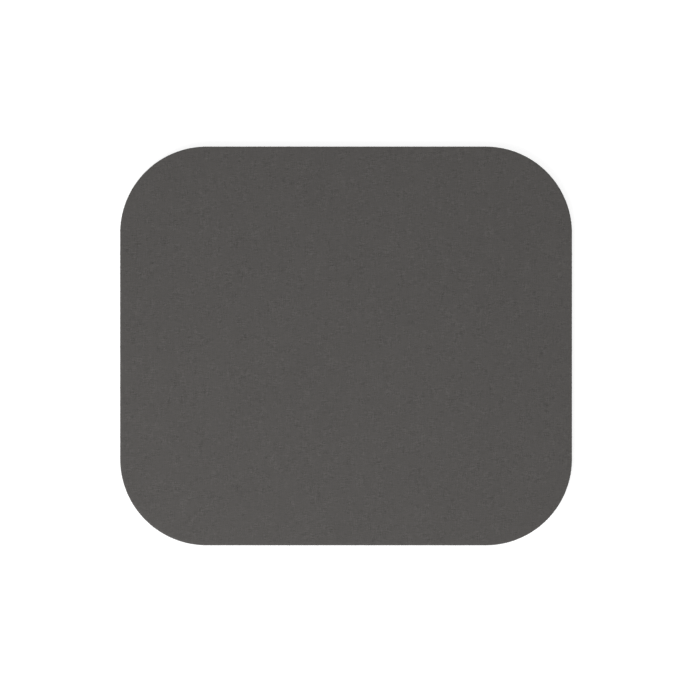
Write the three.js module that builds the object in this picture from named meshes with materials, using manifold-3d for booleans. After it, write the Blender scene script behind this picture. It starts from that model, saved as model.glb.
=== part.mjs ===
// A cloth-faced foam mouse pad: woven cloth bonded to a sheet of sponge rubber, then cut out in one stroke.
// Millimetres, +Z up. The origin lies on the desk under the middle of the pad, +X points to the user's right
// and +Y away from the user.

import * as THREE from "three";
import { mergeVertices } from "three/addons/utils/BufferGeometryUtils.js";
import Module from "manifold-3d";

// Outline of the cutting die, seen from above
const PAD_WIDTH = 230;
const PAD_DEPTH = 203;
const CORNER_RADIUS = 44;

// The laminate, from the desk up
const FOAM_THICKNESS = 5.5;
const FILM_THICKNESS = 0.125;
const CLOTH_THICKNESS = 0.375;

// The cut edge. The blade presses the laminate down before it parts, so the rim stays rolled over a little,
// and the squeezed foam springs back to a wall that is hollow at mid-height.
const RIM_REACH = 1.2;
const RIM_DROP = 0.3;
const WALL_HOLLOW = 0.4;

// Non-slip tread, moulded into the underside before the pad is cut: two crossing families of V grooves
// leave flat diamonds to stand on, and run out through the dense skin at the foot of the wall.
const TREAD_PITCH = 9;
const TREAD_ANGLE_DEG = 45;
const GROOVE_WIDTH = 1.5;
const GROOVE_DEPTH = 0.45;
const SKIN_OVER_GROOVE = 0.25;

// Facets of a rounded corner, of the rolled rim and of the hollow wall
const CORNER_FACETS = 16;
const RIM_FACETS = 4;
const WALL_FACETS = 6;

const wasm = await Module();
wasm.setup();

// The die's outline moved in by a distance, as one ring of points that runs anticlockwise.
function dieOutline(inset) {
  const radius = CORNER_RADIUS - inset;
  const x = PAD_WIDTH / 2 - CORNER_RADIUS;
  const y = PAD_DEPTH / 2 - CORNER_RADIUS;
  const quarter = Math.PI / 2;
  const path = new THREE.Path();
  [[x, -y], [x, y], [-x, y], [-x, -y]].forEach(([centreX, centreY], corner) => {
    path.absarc(centreX, centreY, radius, (corner - 1) * quarter, corner * quarter, false);
  });
  return path.getPoints(CORNER_FACETS / 2);
}

// A closed sheet lofted through sections of the outline. They run out along its underside, up its wall and
// back in over its top, and the first and the last are capped flat.
function loftSheet(sections) {
  const rings = sections.map(({ inset }) => dieOutline(inset));
  const count = rings[0].length;
  const positions = rings.flatMap((ring, i) => ring.flatMap((point) => [point.x, point.y, sections[i].z]));
  const indices = [];
  for (let i = 0; i < rings.length - 1; i++) {
    for (let j = 0; j < count; j++) {
      const here = i * count + j;
      const beside = i * count + ((j + 1) % count);
      indices.push(here, beside, beside + count, here, beside + count, here + count);
    }
  }
  const top = (rings.length - 1) * count;
  const bottomCap = THREE.ShapeUtils.triangulateShape(rings[0], []);
  const topCap = THREE.ShapeUtils.triangulateShape(rings.at(-1), []);
  bottomCap.forEach(([a, b, c]) => indices.push(c, b, a));
  topCap.forEach(([a, b, c]) => indices.push(top + a, top + b, top + c));
  const geometry = new THREE.BufferGeometry();
  geometry.setAttribute("position", new THREE.Float32BufferAttribute(positions, 3));
  geometry.setIndex(indices);
  return geometry;
}

// The rolled rim of a face that is flat at a level, from where it starts to fall away out to the cut edge.
function rolledRim(level) {
  return Array.from({ length: RIM_FACETS + 1 }, (_, i) => {
    const share = i / RIM_FACETS;
    return { inset: RIM_REACH * (1 - share), z: level - RIM_DROP * share ** 2 };
  });
}

// The foam's hollow wall between two levels, without its top edge, which belongs to the rolled rim.
function hollowWall(foot, head) {
  return Array.from({ length: WALL_FACETS }, (_, i) => {
    const share = i / WALL_FACETS;
    return { inset: WALL_HOLLOW * 4 * share * (1 - share), z: foot + (head - foot) * share };
  });
}

// A layer of even thickness that follows the rolled rim on both of its faces.
function rolledLayer(thickness) {
  return loftSheet([...rolledRim(0), ...rolledRim(thickness).reverse()]);
}

// A slab that reaches past the pad all round, with the tread in its underside. Each cell holds one flat
// diamond, the four groove walls that slope up from it, and its share of the slab's top and sides.
function treadSlab(top) {
  const turn = THREE.MathUtils.degToRad(TREAD_ANGLE_DEG);
  const reach = Math.ceil(Math.hypot(PAD_WIDTH, PAD_DEPTH) / 2 / TREAD_PITCH) + 1;
  const order = [[-1, -1], [-1, 1], [1, 1], [1, -1]];
  const corners = [];
  const cellCorner = (s, t, z) =>
    new THREE.Vector3((t - s) / (2 * Math.sin(turn)), (s + t) / (2 * Math.cos(turn)), z);
  const addQuad = (a, b, c, d) => corners.push(a, b, c, a, c, d);
  const ringAt = (i, j, half, z) =>
    order.map(([s, t]) => cellCorner(i * TREAD_PITCH + s * half, j * TREAD_PITCH + t * half, z));
  for (let i = -reach; i <= reach; i++) {
    for (let j = -reach; j <= reach; j++) {
      const land = ringAt(i, j, (TREAD_PITCH - GROOVE_WIDTH) / 2, 0);
      const valley = ringAt(i, j, TREAD_PITCH / 2, GROOVE_DEPTH);
      const roof = ringAt(i, j, TREAD_PITCH / 2, top);
      const onBorder = [i === -reach, j === reach, i === reach, j === -reach];
      addQuad(land[0], land[3], land[2], land[1]);
      addQuad(...roof);
      onBorder.forEach((border, side) => {
        const next = (side + 1) % 4;
        addQuad(land[side], land[next], valley[next], valley[side]);
        if (border) addQuad(valley[side], valley[next], roof[next], roof[side]);
      });
    }
  }
  return new THREE.BufferGeometry().setFromPoints(corners);
}

function solidFrom(geometry) {
  const merged = mergeVertices(geometry);
  return new wasm.Manifold(
    new wasm.Mesh({
      numProp: 3,
      vertProperties: new Float32Array(merged.getAttribute("position").array),
      triVerts: new Uint32Array(merged.index.array),
    }),
  );
}

function geometryFrom(solid) {
  const { vertProperties, triVerts } = solid.getMesh();
  const geometry = new THREE.BufferGeometry();
  geometry.setAttribute("position", new THREE.BufferAttribute(vertProperties, 3));
  geometry.setIndex(new THREE.BufferAttribute(triVerts, 1));
  return geometry;
}

// The sponge rubber base: a hollow-walled sheet that starts below the desk, trimmed to the treaded underside.
function foamBaseGeometry() {
  const foot = { inset: 0, z: -GROOVE_DEPTH };
  const wall = hollowWall(GROOVE_DEPTH + SKIN_OVER_GROOVE, FOAM_THICKNESS - RIM_DROP);
  const sheet = loftSheet([foot, ...wall, ...rolledRim(FOAM_THICKNESS).reverse()]);
  const slab = treadSlab(FOAM_THICKNESS + GROOVE_DEPTH);
  return geometryFrom(solidFrom(sheet).intersect(solidFrom(slab)));
}

function material(color, roughness) {
  return new THREE.MeshStandardMaterial({ color, roughness, metalness: 0, flatShading: true });
}

function piece(name, geometry, finish, level) {
  const mesh = new THREE.Mesh(geometry, finish);
  mesh.name = name;
  mesh.position.z = level;
  return mesh;
}

const wovenCloth = material(0x555351, 0.95);
const meltedFilm = material(0x3a3936, 0.45);
const spongeRubber = material(0x1c1c1d, 0.9);

const mousePad = new THREE.Group();
mousePad.add(
  piece("foam_base", foamBaseGeometry(), spongeRubber, 0),
  piece("bonding_film", rolledLayer(FILM_THICKNESS), meltedFilm, FOAM_THICKNESS),
  piece("cloth_top", rolledLayer(CLOTH_THICKNESS), wovenCloth, FOAM_THICKNESS + FILM_THICKNESS),
);

export default mousePad;
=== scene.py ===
import math

import bpy
import numpy as np
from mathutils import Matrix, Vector
from mathutils.geometry import delaunay_2d_cdt


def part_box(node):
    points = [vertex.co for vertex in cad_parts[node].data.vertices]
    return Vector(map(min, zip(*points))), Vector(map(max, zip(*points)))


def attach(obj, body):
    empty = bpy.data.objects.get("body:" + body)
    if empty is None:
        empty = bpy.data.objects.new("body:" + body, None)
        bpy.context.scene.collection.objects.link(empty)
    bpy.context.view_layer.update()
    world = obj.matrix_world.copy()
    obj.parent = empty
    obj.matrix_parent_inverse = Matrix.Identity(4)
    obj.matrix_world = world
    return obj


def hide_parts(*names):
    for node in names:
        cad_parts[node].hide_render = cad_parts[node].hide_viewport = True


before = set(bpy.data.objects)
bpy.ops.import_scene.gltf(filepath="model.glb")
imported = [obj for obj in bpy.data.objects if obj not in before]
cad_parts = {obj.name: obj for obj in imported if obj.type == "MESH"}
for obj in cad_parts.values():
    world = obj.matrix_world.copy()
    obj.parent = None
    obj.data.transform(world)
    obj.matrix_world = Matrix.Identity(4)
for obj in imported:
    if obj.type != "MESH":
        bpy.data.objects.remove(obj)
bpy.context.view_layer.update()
clothLow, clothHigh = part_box("cloth_top")
filmLow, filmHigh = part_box("bonding_film")
foamLow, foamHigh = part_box("foam_base")
padWidth = clothHigh.x - clothLow.x
padDepth = clothHigh.y - clothLow.y
rimDrop = foamHigh.z - filmLow.z  # how far the blade pressed the rim down
print("frame loaded:", ", ".join(sorted(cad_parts)))

# the die's outline and how the soft sheet lies, in metres
padShape = {
    "cornerRadius": 0.044,
    "rimReach": 0.0012,  # the rolled rim starts this far in
    "lieHeight": 0.00006,  # swell of a soft sheet that never lies dead flat
    "lieLength": 0.085,
    "lieWaves": ((2.1, 0.6, 0.8), (-0.4, 1.7, 2.0), (3.9, -3.1, 0.0)),  # turn along x, along y, start
    "wearReach": 0.003,  # the rim's wear fades out this far in
    "bondedGrid": (0.012, 0.004),  # spacing and margin of the points on faces that are out of sight
}


# outline and levels

def dieStations(spacing):
    # points that the edge is measured from, and the way out at each one
    radius = padShape["cornerRadius"]
    quarter = math.pi / 2
    x, y = padWidth / 2 - radius, padDepth / 2 - radius
    corners = [(x, -y), (x, y), (-x, y), (-x, -y)]
    anchors, headings = [], []
    for k, (cornerX, cornerY) in enumerate(corners):
        fromX, fromY = corners[k - 1]
        steps = round(math.hypot(cornerX - fromX, cornerY - fromY) / spacing)
        for i in range(steps):
            anchors.append((fromX + (cornerX - fromX) * i / steps, fromY + (cornerY - fromY) * i / steps))
            headings.append((k - 1) * quarter)
        steps = round(quarter * radius / spacing)
        for i in range(steps):
            anchors.append((cornerX, cornerY))
            headings.append((k - 1 + i / steps) * quarter)
    headings = np.array(headings)
    return np.array(anchors), np.column_stack([np.cos(headings), np.sin(headings)])


def ringAt(stations, inset, skip=1):
    # the outline moved in, through every station or one in a few
    anchors, outward = stations[0][::skip], stations[1][::skip]
    reach = padShape["cornerRadius"] - np.broadcast_to(inset, len(anchors))
    return anchors + outward * reach[:, None]


def insetOf(xy):
    # distance in from the cut edge
    radius = padShape["cornerRadius"]
    past = np.abs(xy) - np.array([padWidth / 2 - radius, padDepth / 2 - radius])
    return radius - np.linalg.norm(np.maximum(past, 0), axis=1) - np.minimum(past.max(axis=1), 0)


def sheetLevel(level, xy):
    # a face of the laminate: rolled down at the rim, with a faint swell
    rolled = np.maximum(1 - insetOf(xy) / padShape["rimReach"], 0) ** 2
    x, y = (xy / padShape["lieLength"]).T
    broad, cross, small = [xTurn * x + yTurn * y + start for xTurn, yTurn, start in padShape["lieWaves"]]
    swell = np.sin(broad) * np.cos(cross) + np.sin(small) / 2
    return level - rimDrop * rolled + padShape["lieHeight"] * swell


def innerPoints(stations, rings, grid):
    # rings close to the rim, each with its skip and inset, and a grid over the rest
    spacing, margin = grid
    x = np.arange(-padWidth / 2, padWidth / 2, spacing)
    y = np.arange(-padDepth / 2, padDepth / 2, spacing)
    xy = np.stack(np.meshgrid(x, y), axis=-1).reshape(-1, 2)
    return np.vstack([ringAt(stations, inset, skip) for skip, inset in rings] + [xy[insetOf(xy) > margin]])


# mesh drafting: points, faces and the flat map that the finish is stored on

def newDraft():
    return {"points": np.zeros((0, 3)), "faces": [], "places": [], "slots": []}


def addPoints(draft, xy, z):
    start = len(draft["points"])
    fresh = np.column_stack([xy, np.broadcast_to(z, len(xy))])
    draft["points"] = np.vstack([draft["points"], fresh])
    return np.arange(start, start + len(xy))


def addWall(draft, rings, slots, area):
    # quads from ring to ring, with a material slot for each band; on the map the wall lies in strips
    count = len(rings[0])
    here = np.arange(count)
    there = (here + 1) % count
    strip = here * area["strips"] // count
    left = area["left"] + (here * area["strips"] / count - strip) * area["width"]
    right = left + area["strips"] / count * area["width"]
    base = area["foot"] + strip * area["step"]
    for i, slot in enumerate(slots):
        lower, upper = rings[i], rings[i + 1]
        foot = base + i / len(slots) * area["height"]
        head = base + (i + 1) / len(slots) * area["height"]
        places = np.column_stack([left, foot, right, foot, right, head, left, head])
        draft["faces"] += np.column_stack([lower, lower[there], upper[there], upper]).tolist()
        draft["places"] += places.ravel().tolist()
        draft["slots"] += [slot] * count


def addCap(draft, rim, inner, level, area, faceUp=True, slot=0, creased=False):
    # fills a ring with triangles through the inner points, or along the creases that these are the ends of
    xy = np.vstack([draft["points"][rim, :2], inner])
    edges = [(i, (i + 1) % len(rim)) for i in range(len(rim))]
    if creased:
        edges += [(i, i + 1) for i in range(len(rim), len(xy), 2)]
    insideOnly = 1
    weldDistance = 1e-9
    filled = delaunay_2d_cdt([Vector(p) for p in xy], edges, [], insideOnly, weldDistance)
    spots, faces = np.array(filled[0]), np.array(filled[2])
    sources = np.array([min(source, default=len(rim)) for source in filled[3]])
    fresh = sources >= len(rim)
    order = np.zeros(len(spots), int)
    order[~fresh] = rim[sources[~fresh]]
    order[fresh] = addPoints(draft, spots[fresh], level(spots[fresh]))
    faces = order[faces] if faceUp else order[faces][:, ::-1]
    low, high = np.array(area[:2]), np.array(area[2:])
    flat = draft["points"][faces.ravel(), :2] / (padWidth, padDepth) + 0.5
    draft["faces"] += faces.tolist()
    draft["places"] += (low + flat * (high - low)).ravel().tolist()
    draft["slots"] += [slot] * len(faces)


def finishPiece(draft, name, materials, creaseAngle):
    mesh = bpy.data.meshes.new(name)
    mesh.from_pydata(draft["points"].tolist(), [], draft["faces"])
    mesh.polygons.foreach_set("material_index", draft["slots"])
    mesh.uv_layers.new(name="OFBake").data.foreach_set("uv", draft["places"])
    nearness = np.clip(1 - insetOf(draft["points"][:, :2]) / padShape["wearReach"], 0, 1)
    mesh.attributes.new("rimNearness", "FLOAT", "POINT").data.foreach_set("value", nearness)
    mesh.shade_smooth()
    mesh.set_sharp_from_angle(angle=math.radians(creaseAngle))
    for material in materials:
        mesh.materials.append(material)
    piece = bpy.data.objects.new(name, mesh)
    bpy.context.scene.collection.objects.link(piece)
    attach(piece, "root")
    print(f"{name}: {len(mesh.vertices)} points, {len(mesh.polygons)} faces")
    return piece


# node helpers

def feed(tree, socket, value):
    # links another node's output, or sets a plain value
    if isinstance(value, bpy.types.NodeSocket):
        tree.links.new(value, socket)
    else:
        socket.default_value = value


def maths(tree, operation, *values):
    node = tree.nodes.new("ShaderNodeMath")
    node.operation = operation
    for socket, value in zip(node.inputs, values):
        feed(tree, socket, value)
    return node.outputs[0]


def vectorMaths(tree, operation, a, b=None, scale=None):
    node = tree.nodes.new("ShaderNodeVectorMath")
    node.operation = operation
    feed(tree, node.inputs[0], a)
    if b is not None:
        feed(tree, node.inputs[1], b)
    if scale is not None:
        feed(tree, node.inputs["Scale"], scale)
    return node.outputs[0]


def pick(tree, factor, a, b):
    # a where the factor is 0, b where it is 1
    node = tree.nodes.new("ShaderNodeMix")
    feed(tree, node.inputs[0], factor)
    feed(tree, node.inputs[2], a)
    feed(tree, node.inputs[3], b)
    return node.outputs[0]


def pickColour(tree, factor, a, b):
    node = tree.nodes.new("ShaderNodeMix")
    node.data_type = "RGBA"
    feed(tree, node.inputs[0], factor)
    feed(tree, node.inputs[6], a)
    feed(tree, node.inputs[7], b)
    return node.outputs[2]


def spread(tree, value, to, within=(0.0, 1.0)):
    # the value's run within one pair of numbers, spread over another pair
    node = tree.nodes.new("ShaderNodeMapRange")
    feed(tree, node.inputs["Value"], value)
    for label, number in zip(("From Min", "From Max", "To Min", "To Max"), (*within, *to)):
        node.inputs[label].default_value = number
    return node.outputs[0]


def noise(tree, vector, scale, detail=2.0, roughness=0.5, output="Fac"):
    node = tree.nodes.new("ShaderNodeTexNoise")
    feed(tree, node.inputs["Vector"], vector)
    feed(tree, node.inputs["Scale"], scale)
    node.inputs["Detail"].default_value = detail
    node.inputs["Roughness"].default_value = roughness
    return node.outputs[output]


def joined(tree, x, y, z):
    node = tree.nodes.new("ShaderNodeCombineXYZ")
    for socket, value in zip(node.inputs, (x, y, z)):
        feed(tree, socket, value)
    return node.outputs[0]


def newGroup(name, inputs, outputs):
    # sockets are floats, apart from vectors and colours
    kinds = {"Vector": "NodeSocketVector", "Color": "NodeSocketColor"}
    group = bpy.data.node_groups.new(name, "ShaderNodeTree")
    for side, labels in (("INPUT", inputs), ("OUTPUT", outputs)):
        for label in labels:
            group.interface.new_socket(label, in_out=side, socket_type=kinds.get(label, "NodeSocketFloat"))
    return group, group.nodes.new("NodeGroupInput").outputs, group.nodes.new("NodeGroupOutput").inputs


def placeGroup(tree, group, **values):
    node = tree.nodes.new("ShaderNodeGroup")
    node.node_tree = group
    for label, value in values.items():
        feed(tree, node.inputs[label], value)
    return node.outputs


def newMaterial(name):
    material = bpy.data.materials.new(name)
    material.use_nodes = True
    tree = material.node_tree
    place = tree.nodes.new("ShaderNodeTexCoord").outputs["Object"]
    return material, tree, tree.nodes["Principled BSDF"].inputs, place


def rimNearness(tree):
    node = tree.nodes.new("ShaderNodeAttribute")
    node.attribute_name = "rimNearness"
    return node.outputs["Fac"]


def bump(tree, height, distance, normal=None):
    node = tree.nodes.new("ShaderNodeBump")
    feed(tree, node.inputs["Height"], height)
    node.inputs["Distance"].default_value = distance
    if normal:
        feed(tree, node.inputs["Normal"], normal)
    return node.outputs[0]


# shared effects; lengths are in yarns or cells

weaveForm = {
    "strayTurns": 0.11,  # how often the yarns wander, to a yarn
    "spacing": 1.025,  # from yarn to yarn, in widths of one
    "crimp": 0.38,  # share of its height that a yarn rises and dives by
    "slubTurns": 0.11,  # how often a yarn goes from thick to thin
    "slubsApart": 7.3,  # keeps the slubs of neighbours unlike
    "twistAlong": 2.0,
    "twistAcross": 9.0,
    "fibresApart": 3.1,
    "familiesApart": 31.7,
}


def makeWeave():
    # plain weave: two families of yarns rise and dive in turn, and the higher one shows
    tree, given, put = newGroup(
        "Plain Weave", ["Vector", "Yarns", "Wander"], ["Height", "Warp", "Slub", "Fleck", "Fibre"]
    )
    yarns = vectorMaths(tree, "SCALE", given["Vector"], scale=given["Yarns"])
    stray = noise(tree, yarns, weaveForm["strayTurns"], detail=1.0, output="Color")
    stray = vectorMaths(tree, "SUBTRACT", stray, (0.5, 0.5, 0.5))
    yarns = vectorMaths(tree, "ADD", yarns, vectorMaths(tree, "SCALE", stray, scale=given["Wander"]))
    axes = tree.nodes.new("ShaderNodeSeparateXYZ")
    feed(tree, axes.inputs[0], yarns)

    def family(across, along, shift):
        # for one set of yarns: number of the yarn, distance off its middle, height, number of the float, run
        strand = maths(tree, "FLOOR", across)
        odd = maths(tree, "FLOORED_MODULO", maths(tree, "ADD", strand, shift), 2.0)
        off = maths(tree, "SUBTRACT", maths(tree, "FRACT", across), 0.5)
        square = maths(tree, "POWER", maths(tree, "MULTIPLY", off, 2 * weaveForm["spacing"]), 2.0)
        section = maths(tree, "SQRT", maths(tree, "MAXIMUM", maths(tree, "SUBTRACT", 1.0, square), 0.0))
        phase = maths(tree, "ADD", maths(tree, "SUBTRACT", along, 0.5), odd)
        rise = maths(tree, "COSINE", maths(tree, "MULTIPLY", phase, math.pi))
        dive = maths(tree, "MULTIPLY_ADD", rise, weaveForm["crimp"], 1 - weaveForm["crimp"])
        height = maths(tree, "MULTIPLY", section, dive)
        step = maths(tree, "MULTIPLY", maths(tree, "SUBTRACT", maths(tree, "ADD", along, 0.5), odd), 0.5)
        return strand, off, height, maths(tree, "FLOOR", step), along

    weft = family(axes.outputs[1], axes.outputs[0], 1.0)
    warp = family(axes.outputs[0], axes.outputs[1], 0.0)
    onTop = maths(tree, "GREATER_THAN", warp[2], weft[2])
    strand, off, height, length, along = (pick(tree, onTop, a, b) for a, b in zip(weft, warp))
    side = maths(tree, "MULTIPLY", onTop, weaveForm["familiesApart"])
    feed(tree, put["Height"], height)
    feed(tree, put["Warp"], onTop)
    thread = joined(
        tree,
        maths(tree, "MULTIPLY", strand, weaveForm["slubsApart"]),
        maths(tree, "MULTIPLY", along, weaveForm["slubTurns"]),
        side,
    )
    feed(tree, put["Slub"], noise(tree, thread, 1.0, detail=1.0))
    shade = tree.nodes.new("ShaderNodeTexWhiteNoise")  # each float has a shade of its own
    feed(tree, shade.inputs["Vector"], joined(tree, strand, length, side))
    feed(tree, put["Fleck"], shade.outputs["Value"])
    slant = maths(tree, "MULTIPLY", off, weaveForm["twistAcross"])
    fibre = joined(
        tree,
        maths(tree, "MULTIPLY_ADD", along, weaveForm["twistAlong"], slant),
        along,
        maths(tree, "MULTIPLY_ADD", strand, weaveForm["fibresApart"], side),
    )
    feed(tree, put["Fibre"], noise(tree, fibre, 1.0, roughness=0.6))
    return tree


def makeToneDrift():
    # slow change of shade over a surface, from broad patches down to flecks
    tree, given, put = newGroup("Tone Drift", ["Vector", "Color", "Patches", "Amount"], ["Color", "Drift"])
    drift = noise(tree, given["Vector"], given["Patches"], detail=6.0, roughness=0.62)
    centred = maths(tree, "MULTIPLY", maths(tree, "SUBTRACT", drift, 0.5), given["Amount"])
    shade = vectorMaths(tree, "SCALE", given["Color"], scale=maths(tree, "ADD", 1.0, centred))
    feed(tree, put["Color"], shade)
    feed(tree, put["Drift"], drift)
    return tree


def makeRimWear():
    # broken mask that builds up towards the cut edge
    steepness, thinnest = 2.5, 0.2
    tree, given, put = newGroup("Rim Wear", ["Vector", "Nearness", "Grain"], ["Mask"])
    broken = noise(tree, given["Vector"], given["Grain"], detail=3.0, roughness=0.6)
    close = maths(tree, "POWER", given["Nearness"], steepness)
    feed(tree, put["Mask"], maths(tree, "MULTIPLY", close, spread(tree, broken, (thinnest, 1.0))))
    return tree


def makeSpongeCells():
    # burst cells of sponge rubber: round pits of mixed size
    leastRadius, grainsToCell = 0.02, 2.5
    tree, given, put = newGroup("Sponge Cells", ["Vector", "Cells", "Open"], ["Pits", "Grain"])
    cells = tree.nodes.new("ShaderNodeTexVoronoi")
    feed(tree, cells.inputs["Vector"], given["Vector"])
    feed(tree, cells.inputs["Scale"], given["Cells"])
    size = tree.nodes.new("ShaderNodeSeparateColor")
    feed(tree, size.inputs[0], cells.outputs["Color"])
    radius = maths(tree, "ADD", maths(tree, "MULTIPLY", size.outputs[0], given["Open"]), leastRadius)
    depth = maths(tree, "SUBTRACT", 1.0, maths(tree, "DIVIDE", cells.outputs["Distance"], radius))
    feed(tree, put["Pits"], maths(tree, "MAXIMUM", depth, 0.0))
    grains = maths(tree, "MULTIPLY", given["Cells"], grainsToCell)
    feed(tree, put["Grain"], noise(tree, given["Vector"], grains, detail=3.0, roughness=0.6))
    return tree


weaveGroup = makeWeave()
toneGroup = makeToneDrift()
wearGroup = makeRimWear()
cellGroup = makeSpongeCells()
print("shared effects ready")


def placeDrift(tree, place, colour, look):
    return placeGroup(
        tree, toneGroup, Vector=place, Color=colour, Patches=look["driftPatches"], Amount=look["drift"]
    )


def placeWear(tree, place, look):
    return placeGroup(tree, wearGroup, Vector=place, Nearness=rimNearness(tree), Grain=look["rimGrain"])


# woven cloth on top

clothTop = {
    "yarns": 2900.0,  # per metre
    "wander": 1.3,  # how far they stray, in yarns
    "yarnGapShadeAndEndTone": (0.042, 0.040, 0.0385, 1.0),  # painted shade down between the yarns; the cut ends take it as their darker tone
    "fluff": (0.125, 0.120, 0.115, 1.0),  # cut fibres
    "face": {
        "colour": (0.1033, 0.0982, 0.0941, 1.0),
        "heights": (0.35, 0.95),  # a yarn comes out of its painted shade between these heights
        "light": (-0.2, 0.8),
        "fibreLight": 0.35,
        "slub": 0.92,  # how much thick and thin stretches differ in shade
        "warpSlub": 0.58,  # the yarns that run away from the user are more even
        "paintedCrossShade": 0.06,  # painted shade: how much the yarns that cross differ, as the two families face the lamps differently
        "flecks": 0.14,  # how much each float differs in tone from the next
        "patches": 200.0,  # per metre; the pattern comes and goes over them
        "patchSpan": (0.36, 0.64),
        "patchGain": (0.4, 1.6),
        "driftPatches": 60.0,
        "drift": 0.12,
        "rimFluff": 0.12,
        "rimGrain": 2600.0,
        "roughness": (0.98, 0.86),  # of thin and of thick stretches
        "relief": 0.00006,
        "fibreRelief": 0.3,
        "mottle": 0.00006,  # foam cells that show faintly through the cloth
        "mottleCells": 260.0,
        "gloss": 0.12,
        "sheen": 0.12,
        "sheenRoughness": 0.45,
        "sheenTint": (0.9, 0.88, 0.86, 1.0),
    },
    "ends": {
        "driftPatches": 900.0,
        "drift": 0.35,
        "fibres": 12000.0,
        "roughness": (0.85, 1.0),
        "relief": 0.00004,
        "gloss": 0.1,
        "sheen": 0.2,
        "sheenRoughness": 0.5,
    },
    "cut": {
        "edgeSpacing": 0.00012,
        "noseRadius": 0.00014,  # rounded shoulder of the cut
        "noseSteps": (0.3, 0.6, 1.0),
        "endBulge": 0.00007,  # yarn ends stand out of the cut by this much
        "endStray": 0.00005,
        "endShares": {"foot": 0.2, "middle": 1.0, "shoulder": 0.8, "top": 0.4},
        "faceRings": ((1, 0.0003), (2, 0.0006), (2, 0.0009), (3, 0.0013), (6, 0.0022), (10, 0.004)),
        "faceGrid": (0.004, 0.006),
        "bondedRings": ((8, 0.0008),),
        "creaseAngle": 50,
        "seed": 7,
    },
}


def makeClothFace():
    look = clothTop["face"]
    material, tree, surface, place = newMaterial("wovenClothFace")
    weave = placeGroup(tree, weaveGroup, Vector=place, Yarns=clothTop["yarns"], Wander=clothTop["wander"])
    # painted shade: each yarn darkens towards the gap colour as it dives under its neighbours, with fibre
    # noise on top
    raised = spread(tree, weave["Height"], look["light"], look["heights"])
    lit = maths(tree, "MULTIPLY_ADD", weave["Fibre"], look["fibreLight"], raised)
    deep = pickColour(tree, lit, clothTop["yarnGapShadeAndEndTone"], look["colour"])
    amount = pick(tree, weave["Warp"], look["slub"], look["warpSlub"])
    pattern = maths(tree, "MULTIPLY", maths(tree, "SUBTRACT", weave["Slub"], 0.5), amount)
    # painted shade between the crossing yarns, and each float's own fleck of tone
    for part, share in (("Warp", look["paintedCrossShade"]), ("Fleck", look["flecks"])):
        pattern = maths(tree, "MULTIPLY_ADD", maths(tree, "SUBTRACT", weave[part], 0.5), share, pattern)
    patches = noise(tree, place, look["patches"], detail=1.0)
    gain = spread(tree, patches, look["patchGain"], look["patchSpan"])
    woven = vectorMaths(tree, "SCALE", deep, scale=maths(tree, "MULTIPLY_ADD", pattern, gain, 1.0))
    drift = placeDrift(tree, place, woven, look)
    wear = placeWear(tree, place, look)
    fluffy = maths(tree, "MULTIPLY", wear["Mask"], look["rimFluff"])
    feed(tree, surface["Base Color"], pickColour(tree, fluffy, drift["Color"], clothTop["fluff"]))
    feed(tree, surface["Roughness"], spread(tree, weave["Slub"], look["roughness"]))
    mottled = bump(tree, noise(tree, place, look["mottleCells"]), look["mottle"])
    relief = maths(tree, "MULTIPLY_ADD", weave["Fibre"], look["fibreRelief"], weave["Height"])
    feed(tree, surface["Normal"], bump(tree, relief, look["relief"], normal=mottled))
    surface["Specular IOR Level"].default_value = look["gloss"]
    surface["Sheen Weight"].default_value = look["sheen"]
    surface["Sheen Roughness"].default_value = look["sheenRoughness"]
    surface["Sheen Tint"].default_value = look["sheenTint"]
    return material


def makeClothEnds():
    # the cut side of the cloth, where the yarns end
    look = clothTop["ends"]
    material, tree, surface, place = newMaterial("cutYarnEnds")
    weave = placeGroup(tree, weaveGroup, Vector=place, Yarns=clothTop["yarns"], Wander=clothTop["wander"])
    # darker and paler yarn ends, mixed by slub
    ends = pickColour(tree, weave["Slub"], clothTop["yarnGapShadeAndEndTone"], clothTop["fluff"])
    drift = placeDrift(tree, place, ends, look)
    fibres = noise(tree, place, look["fibres"], roughness=0.7)
    feed(tree, surface["Base Color"], drift["Color"])
    feed(tree, surface["Roughness"], spread(tree, fibres, look["roughness"]))
    feed(tree, surface["Normal"], bump(tree, fibres, look["relief"]))
    surface["Specular IOR Level"].default_value = look["gloss"]
    surface["Sheen Weight"].default_value = look["sheen"]
    surface["Sheen Roughness"].default_value = look["sheenRoughness"]
    return material


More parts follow.
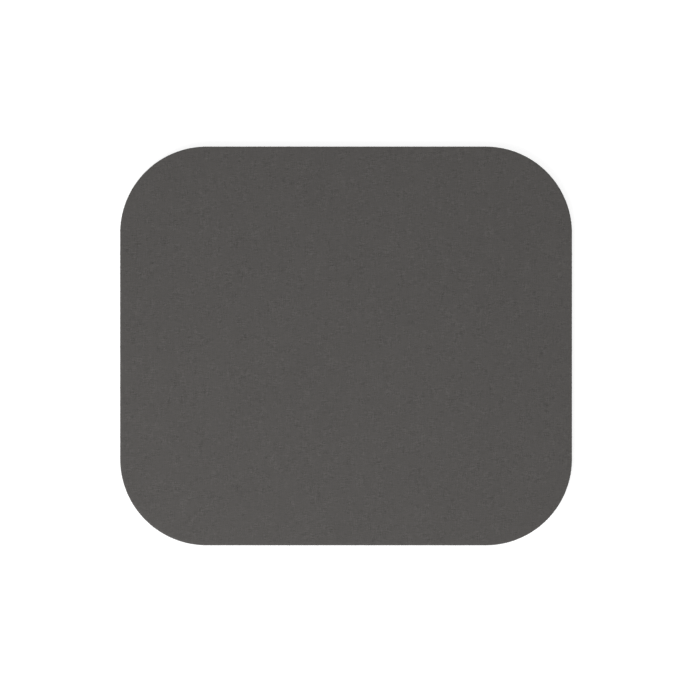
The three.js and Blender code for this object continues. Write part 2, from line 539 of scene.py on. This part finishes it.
def makeCloth():
    cut = clothTop["cut"]
    stations = dieStations(cut["edgeSpacing"])
    outline = ringAt(stations, 0)
    chance = np.random.default_rng(cut["seed"])

    def yarnEnds(position, facing):
        # round ends side by side along one family of yarns, cut a little long or short
        place = position * clothTop["yarns"]
        index = np.floor(place).astype(int)
        index -= index.min()
        stray = chance.normal(0, cut["endStray"], index.max() + 1)[index]
        return np.abs(facing) * (cut["endBulge"] * np.abs(np.sin(np.pi * place)) + np.abs(stray))

    proud = yarnEnds(outline[:, 0], stations[1][:, 1]) + yarnEnds(outline[:, 1], stations[1][:, 0])
    proud -= proud.mean()  # the cut as a whole stays on the die's line
    draft = newDraft()
    nose, shares = cut["noseRadius"], cut["endShares"]

    def rim(inset, level, rounded, share):
        xy = ringAt(stations, inset - proud * share)
        return addPoints(draft, xy, sheetLevel(level, ringAt(stations, inset)) - rounded)

    shoulder = clothHigh.z - nose
    wall = [
        rim(0, filmHigh.z, 0, shares["foot"]),
        rim(0, (filmHigh.z + shoulder) / 2, 0, shares["middle"]),
        rim(0, shoulder, 0, shares["shoulder"]),
    ]
    for step in cut["noseSteps"]:
        inset = nose * step
        rounded = nose - math.sqrt(nose**2 - (nose - inset) ** 2)
        share = shares["shoulder"] + (shares["top"] - shares["shoulder"]) * step
        wall.append(rim(inset, clothHigh.z, rounded, share))
    # where the wall, the face and the bonded side lie on the flat map
    wallMap = {"strips": 4, "left": 0.005, "width": 0.93, "foot": 0.004, "step": 0.013, "height": 0.009}
    faceMap, bondedMap = (0.005, 0.06, 0.995, 0.995), (0.945, 0.004, 0.99, 0.05)
    addWall(draft, wall, [1] * (len(wall) - 1), wallMap)
    face = innerPoints(stations, cut["faceRings"], cut["faceGrid"])
    addCap(draft, wall[-1], face, lambda xy: sheetLevel(clothHigh.z, xy), faceMap)
    bonded = innerPoints(stations, cut["bondedRings"], padShape["bondedGrid"])
    addCap(draft, wall[0], bonded, lambda xy: sheetLevel(filmHigh.z, xy), bondedMap, faceUp=False, slot=1)
    finishes = [makeClothFace(), makeClothEnds()]
    piece = finishPiece(draft, "cloth_top_woven", finishes, cut["creaseAngle"])
    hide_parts("cloth_top")
    return piece


# hot-melt film between cloth and foam

bondingFilm = {
    "colour": (0.030, 0.029, 0.027, 1.0),
    "driftPatches": 500.0,
    "drift": 0.6,
    "roughness": (0.3, 0.6),
    "relief": 0.00003,
    "gloss": 0.45,
    "edgeSpacing": 0.0006,
    "bleed": 0.00005,  # melt squeezed out past the cut
    "bleedWaves": range(11, 400, 7),  # round the pad
    "bead": ((0, 0), (0.3, 0.8), (0.7, 0.8), (1, 0)),  # share of the height, share of the bleed
    "bondedRings": ((2, 0.0004), (2, 0.0008), (2, 0.0012)),
    "creaseAngle": 50,
    "seed": 19,
}


def makeFilmMaterial():
    material, tree, surface, place = newMaterial("meltedFilm")
    drift = placeDrift(tree, place, bondingFilm["colour"], bondingFilm)
    feed(tree, surface["Base Color"], drift["Color"])
    feed(tree, surface["Roughness"], spread(tree, drift["Drift"], bondingFilm["roughness"]))
    feed(tree, surface["Normal"], bump(tree, drift["Drift"], bondingFilm["relief"]))
    surface["Specular IOR Level"].default_value = bondingFilm["gloss"]
    return material


def smoothWander(chance, count, waves):
    # closed line of gentle random waves, from -1 to 1
    fullTurn = 6.28
    turn = np.linspace(0, 2 * np.pi, count, endpoint=False)
    line = sum(chance.normal() * np.sin(n * turn + chance.uniform(0, fullTurn)) / n**0.5 for n in waves)
    return line / np.abs(line).max()


def makeFilm():
    stations = dieStations(bondingFilm["edgeSpacing"])
    chance = np.random.default_rng(bondingFilm["seed"])
    wander = smoothWander(chance, len(stations[0]), bondingFilm["bleedWaves"])
    bleed = np.maximum(bondingFilm["bleed"] * wander, 0)
    outline = ringAt(stations, 0)
    draft = newDraft()
    wall = []
    for share, out in bondingFilm["bead"]:
        level = foamHigh.z + (filmHigh.z - foamHigh.z) * share
        wall.append(addPoints(draft, ringAt(stations, -bleed * out), sheetLevel(level, outline)))
    # where the wall and the bonded sides lie on the flat map
    wallMap = {"strips": 4, "left": 0.005, "width": 0.93, "foot": 0.01, "step": 0.24, "height": 0.22}
    upperMap, lowerMap = (0.945, 0.01, 0.99, 0.05), (0.945, 0.06, 0.99, 0.1)
    addWall(draft, wall, [0] * (len(wall) - 1), wallMap)
    bonded = innerPoints(stations, bondingFilm["bondedRings"], padShape["bondedGrid"])
    addCap(draft, wall[-1], bonded, lambda xy: sheetLevel(filmHigh.z, xy), upperMap)
    addCap(draft, wall[0], bonded, lambda xy: sheetLevel(foamHigh.z, xy), lowerMap, faceUp=False)
    piece = finishPiece(draft, "bonding_film_layer", [makeFilmMaterial()], bondingFilm["creaseAngle"])
    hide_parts("bonding_film")
    return piece


# sponge rubber base

foamBase = {
    # painted shade deep inside the burst cells
    "paintedPitShade": (0.004, 0.004, 0.004, 1.0),
    "bloom": (0.075, 0.074, 0.072, 1.0),  # pale dust on burst cell walls
    "sponge": {
        "colour": (0.024, 0.024, 0.0245, 1.0),
        "cells": 2600.0,  # per metre
        "open": 0.75,
        "dust": (-0.3, 0.55),  # it lies on the higher grain only
        "driftPatches": 180.0,
        "drift": 0.5,
        "roughness": (0.78, 0.98),
        "relief": 0.00012,
        "grainRelief": 0.35,
        "gloss": 0.3,
    },
    "skin": {
        "colour": (0.0165, 0.0165, 0.017, 1.0),
        "cells": 500.0,
        "open": 0.12,
        "printYarns": 900.0,  # per metre, of the cloth that it was moulded against
        "printWander": 0.2,
        "printRelief": 0.5,
        "driftPatches": 45.0,
        "drift": 0.5,
        "rimDust": 0.5,
        "rimGrain": 1500.0,
        "roughness": (0.52, 0.78),
        "relief": 0.00012,
        "gloss": 0.4,
    },
    "cut": {
        "edgeSpacing": 0.0003,
        "rowSpacing": 0.00028,
        "hollow": 0.0004,  # the cut wall bows in by this much
        "skin": 0.0007,  # dense straight band at the foot of the wall
        "ripple": 0.00006,
        "rippleWaves": range(9, 160, 5),  # round the pad
        "burstCells": 2600,
        "burstRadius": (0.00028, 0.0009),
        "burstDepth": 0.00038,
        "burstShares": (0.4, 1.0),  # of that depth, from one cell to another
        "burstFade": 4,  # how soon the cells come in from the wall's two edges
        "bondedRings": ((4, 0.0005), (4, 0.0012)),
        "creaseAngle": 40,
        "seed": 23,
    },
    "tread": {
        "pitch": 0.009,
        "grooveWidth": 0.0015,
        "grooveDepth": 0.00045,
        "groove": ((0, 0.93), (0.75, 0.27), (1.25, 0)),  # share of the half width, share of the depth
        "landLine": 1.7,  # a line on the land beside each groove keeps the land flat
        "margin": 0.00018,  # the lines end this far from the cut edge
    },
}


def makeCutSponge():
    look = foamBase["sponge"]
    material, tree, surface, place = newMaterial("cutSpongeRubber")
    cells = placeGroup(tree, cellGroup, Vector=place, Cells=look["cells"], Open=look["open"])
    # painted shade in the cells' pits
    body = pickColour(tree, cells["Pits"], look["colour"], foamBase["paintedPitShade"])
    dusty = pickColour(tree, spread(tree, cells["Grain"], look["dust"]), body, foamBase["bloom"])
    drift = placeDrift(tree, place, dusty, look)
    feed(tree, surface["Base Color"], drift["Color"])
    feed(tree, surface["Roughness"], spread(tree, cells["Grain"], look["roughness"]))
    pits = maths(tree, "MULTIPLY", cells["Pits"], -1.0)
    relief = maths(tree, "MULTIPLY_ADD", cells["Grain"], look["grainRelief"], pits)
    feed(tree, surface["Normal"], bump(tree, relief, look["relief"]))
    surface["Specular IOR Level"].default_value = look["gloss"]
    return material


def makeMouldedSkin():
    # the closed underside keeps the print of the cloth that it was moulded against
    look = foamBase["skin"]
    material, tree, surface, place = newMaterial("mouldedRubberSkin")
    cells = placeGroup(tree, cellGroup, Vector=place, Cells=look["cells"], Open=look["open"])
    imprint = placeGroup(
        tree, weaveGroup, Vector=place, Yarns=look["printYarns"], Wander=look["printWander"]
    )
    # painted shade in the skin's few pits
    body = pickColour(tree, cells["Pits"], look["colour"], foamBase["paintedPitShade"])
    drift = placeDrift(tree, place, body, look)
    wear = placeWear(tree, place, look)
    dusty = maths(tree, "MULTIPLY", wear["Mask"], look["rimDust"])
    feed(tree, surface["Base Color"], pickColour(tree, dusty, drift["Color"], foamBase["bloom"]))
    feed(tree, surface["Roughness"], spread(tree, drift["Drift"], look["roughness"]))
    pits = maths(tree, "MULTIPLY", cells["Pits"], -1.0)
    relief = maths(tree, "MULTIPLY_ADD", imprint["Height"], look["printRelief"], pits)
    feed(tree, surface["Normal"], bump(tree, relief, look["relief"]))
    surface["Specular IOR Level"].default_value = look["gloss"]
    return material


def grooveHeight(xy):
    # how far the moulded underside stands off the desk; crossing grooves run softly into each other
    tread = foamBase["tread"]
    offsets, depths = np.array(tread["groove"]).T
    land = np.ones(len(xy))
    for across in ((xy[:, 1] - xy[:, 0]) / math.sqrt(2), (xy[:, 1] + xy[:, 0]) / math.sqrt(2)):
        offset = np.abs(across / tread["pitch"] % 1 - 0.5) * tread["pitch"]
        land *= 1 - np.interp(offset, offsets * tread["grooveWidth"] / 2, depths)
    return (1 - land) * tread["grooveDepth"]


def treadCreases():
    # ends of the straight lines that shape the grooves, in pairs
    tread = foamBase["tread"]
    reach = math.hypot(padWidth, padDepth) / 2
    count = math.ceil(reach / tread["pitch"])
    middles = (np.arange(-count, count) + 0.5) * tread["pitch"]
    oneSide = np.array([offset for offset, _ in tread["groove"][1:]] + [tread["landLine"]])
    offsets = np.concatenate([-oneSide[::-1], [0], oneSide]) * tread["grooveWidth"] / 2
    lines = (middles[:, None] + offsets).ravel()
    tries = 4001  # places along a line that are tried for its ends
    along = np.linspace(-reach, reach, tries)
    ends = []
    for side in (1, -1):
        for line in lines:
            xy = np.column_stack([side * (along - line), along + line]) / math.sqrt(2)
            inside = xy[insetOf(xy) > tread["margin"]]
            if len(inside) > 1:
                ends += [inside[0], inside[-1]]
    return np.array(ends)


def burstCells(rows, count, height, chance):
    # depth of the burst cells over the wall's rows and stations
    cut = foamBase["cut"]
    depth = np.zeros((rows, count))
    along, up = cut["edgeSpacing"], height / rows
    for _ in range(cut["burstCells"]):
        radius = chance.uniform(*cut["burstRadius"])
        row, station = chance.uniform(0, rows), chance.uniform(0, count)
        deep = cut["burstDepth"] * chance.uniform(*cut["burstShares"]) * radius / cut["burstRadius"][1]
        for i in range(max(0, int(row - radius / up)), min(rows, int(row + radius / up) + 2)):
            for j in range(int(station - radius / along), int(station + radius / along) + 2):
                far = math.hypot((i - row) * up, (j - station) * along) / radius
                if far < 1:
                    depth[i, j % count] = max(depth[i, j % count], deep * math.sqrt(1 - far**2))
    return depth


def makeFoam():
    cut = foamBase["cut"]
    stations = dieStations(cut["edgeSpacing"])
    count = len(stations[0])
    chance = np.random.default_rng(cut["seed"])
    head = foamHigh.z - rimDrop
    height = head - cut["skin"]
    rows = round(height / cut["rowSpacing"])
    cells = burstCells(rows + 1, count, height, chance)
    ripple = cut["ripple"] * smoothWander(chance, count, cut["rippleWaves"])
    draft = newDraft()
    outline = ringAt(stations, 0)
    wall = [addPoints(draft, outline, grooveHeight(outline))]
    for row in range(rows + 1):
        share = row / rows
        bow = 4 * share * (1 - share)
        inset = cut["hollow"] * bow + (cells[row] + ripple) * min(1, cut["burstFade"] * bow)
        lift = (sheetLevel(foamHigh.z, outline) - head) * share
        wall.append(addPoints(draft, ringAt(stations, inset), cut["skin"] + height * share + lift))
    # where the wall, the underside and the bonded side lie on the flat map
    wallMap = {"strips": 4, "left": 0.005, "width": 0.93, "foot": 0.004, "step": 0.037, "height": 0.031}
    underMap, bondedMap = (0.005, 0.16, 0.995, 0.995), (0.945, 0.004, 0.99, 0.15)
    addWall(draft, wall, [1] + [0] * rows, wallMap)
    addCap(draft, wall[0], treadCreases(), grooveHeight, underMap, faceUp=False, slot=1, creased=True)
    bonded = innerPoints(stations, cut["bondedRings"], padShape["bondedGrid"])
    addCap(draft, wall[-1], bonded, lambda xy: sheetLevel(foamHigh.z, xy), bondedMap)
    finishes = [makeCutSponge(), makeMouldedSkin()]
    piece = finishPiece(draft, "foam_base_moulded", finishes, cut["creaseAngle"])
    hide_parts("foam_base")
    return piece


foamPiece = makeFoam()
filmPiece = makeFilm()
clothPiece = makeCloth()


# studio

studio = {
    "floorColour": (0.86, 0.86, 0.86, 1.0),
    "floorGlow": 0.755,  # plain white added to the floor that the camera sees
    "floorPaint": 0.46,  # share of the lit floor that it sees with it
    "floorReach": 6.0,
    "floorGap": 0.00002,  # below the lowest point of the pad
    "shadeReach": 0.003,  # the glow fades where the pad shuts out the sky this near
    "shadeSpan": (0.25, 0.75),
    "ambient": 0.62,
    "keyPlace": (-0.35, -0.555, 0.655),
    "keySize": 0.6,
    "keyPower": 6.65,
    "fillPlace": (0.9, 0.75, 0.8),
    "fillSize": 1.0,
    "fillPower": 2.0,
}


def seenDirectly(tree):
    # rays that show the backdrop: the camera's own, reflected and refracted ones
    path = tree.nodes.new("ShaderNodeLightPath").outputs
    mirrored = maths(tree, "MAXIMUM", path["Is Glossy Ray"], path["Is Transmission Ray"])
    return maths(tree, "MAXIMUM", path["Is Camera Ray"], mirrored)


def makeFloor():
    material = bpy.data.materials.new("studioFloor")
    material.use_nodes = True
    tree = material.node_tree
    tree.nodes.clear()
    paint = tree.nodes.new("ShaderNodeBsdfDiffuse")
    paint.inputs["Color"].default_value = studio["floorColour"]
    openSky = tree.nodes.new("ShaderNodeAmbientOcclusion")
    openSky.inputs["Distance"].default_value = studio["shadeReach"]
    glowShare = 1 - studio["floorPaint"]
    glow = spread(tree, openSky.outputs["AO"], (0.0, studio["floorGlow"] / glowShare), studio["shadeSpan"])
    white = tree.nodes.new("ShaderNodeEmission")
    feed(tree, white.inputs["Strength"], glow)
    mix = tree.nodes.new("ShaderNodeMixShader")
    feed(tree, mix.inputs[0], maths(tree, "MULTIPLY", seenDirectly(tree), glowShare))
    feed(tree, mix.inputs[1], paint.outputs[0])
    feed(tree, mix.inputs[2], white.outputs[0])
    feed(tree, tree.nodes.new("ShaderNodeOutputMaterial").inputs["Surface"], mix.outputs[0])
    reach, level = studio["floorReach"], foamLow.z - studio["floorGap"]
    corners = [(x * reach, y * reach, level) for x, y in ((-1, -1), (1, -1), (1, 1), (-1, 1))]
    mesh = bpy.data.meshes.new("studio_floor")
    mesh.from_pydata(corners, [], [(0, 1, 2, 3)])
    mesh.materials.append(material)
    floor = bpy.data.objects.new("studio_floor", mesh)
    bpy.context.scene.collection.objects.link(floor)


def makeWorld():
    world = bpy.data.worlds.new("studioWorld")
    world.use_nodes = True
    tree = world.node_tree
    background = tree.nodes["Background"]
    background.inputs["Color"].default_value = (1, 1, 1, 1)
    feed(tree, background.inputs["Strength"], pick(tree, seenDirectly(tree), studio["ambient"], 1.0))
    bpy.context.scene.world = world


def addLamp(name, place, size, power):
    lamp = bpy.data.lights.new(name, "AREA")
    lamp.size = size
    lamp.energy = power
    holder = bpy.data.objects.new(name, lamp)
    holder.location = place
    holder.rotation_mode = "QUATERNION"
    holder.rotation_quaternion = Vector(place).to_track_quat("Z", "Y")
    bpy.context.scene.collection.objects.link(holder)


makeFloor()
makeWorld()
addLamp("keyLamp", studio["keyPlace"], studio["keySize"], studio["keyPower"])
addLamp("fillLamp", studio["fillPlace"], studio["fillSize"], studio["fillPower"])
print("studio lit")


# camera straight above, framed as the photograph is

photoFrame = {
    "side": 700,  # pixels, as are the pad's edges
    "padLeft": 120.0,
    "padRight": 572.1,
    "padTop": 146.6,
    "padBottom": 545.3,
    "lens": 85.0,
    "sensor": 36.0,
}


def makeCamera():
    pixel = padWidth / (photoFrame["padRight"] - photoFrame["padLeft"])  # metres on the cloth
    offX = photoFrame["side"] / 2 - (photoFrame["padLeft"] + photoFrame["padRight"]) / 2
    offY = (photoFrame["padTop"] + photoFrame["padBottom"]) / 2 - photoFrame["side"] / 2
    lens = bpy.data.cameras.new("photoCamera")
    lens.lens = photoFrame["lens"]
    lens.sensor_width = photoFrame["sensor"]
    camera = bpy.data.objects.new("photoCamera", lens)
    height = photoFrame["side"] * pixel * photoFrame["lens"] / photoFrame["sensor"]
    camera.location = (offX * pixel, offY * pixel, clothHigh.z + height)
    bpy.context.scene.collection.objects.link(camera)
    bpy.context.scene.camera = camera


makeCamera()
bpy.context.scene.view_settings.view_transform = "Standard"
print("camera set")
